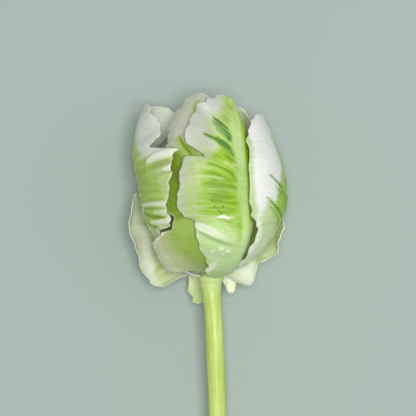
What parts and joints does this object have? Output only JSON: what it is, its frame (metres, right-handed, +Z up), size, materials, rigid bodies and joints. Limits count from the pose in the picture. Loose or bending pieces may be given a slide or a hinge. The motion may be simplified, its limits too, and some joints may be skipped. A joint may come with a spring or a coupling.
{
  "type": "parrot tulip",
  "caption": "Cut parrot tulip lying on its side: a half-closed bud of frilled, notched green and white petals on a bare, gently bent stem.",
  "frame": {"origin": "on the table, at the middle of the lying flower's footprint", "axes": "+Z up, +Y from the stem's cut end towards the bloom, +X to the right seen from above with the bloom away from the viewer"},
  "size_m": [0.064, 0.2474, 0.0616],
  "materials": {
    "stem": "smooth waxy yellow-green plant stem",
    "petal": "satin petal, green flames and veins on greenish white",
    "pistil": "smooth pale green ovary with a matt cream stigma",
    "stamen": "matt dark violet anther on a pale stalk"
  },
  "bodies": {
    "root": {"stem": "stem", "petal_front": "petal", "petal_right": "petal", "petal_back_right": "petal", "petal_back_left": "petal", "petal_left": "petal", "petal_front_left": "petal", "pistil": "pistil", "stamen_1": "stamen", "stamen_2": "stamen", "stamen_3": "stamen", "stamen_4": "stamen", "stamen_5": "stamen", "stamen_6": "stamen"}
  },
  "joints": []
}
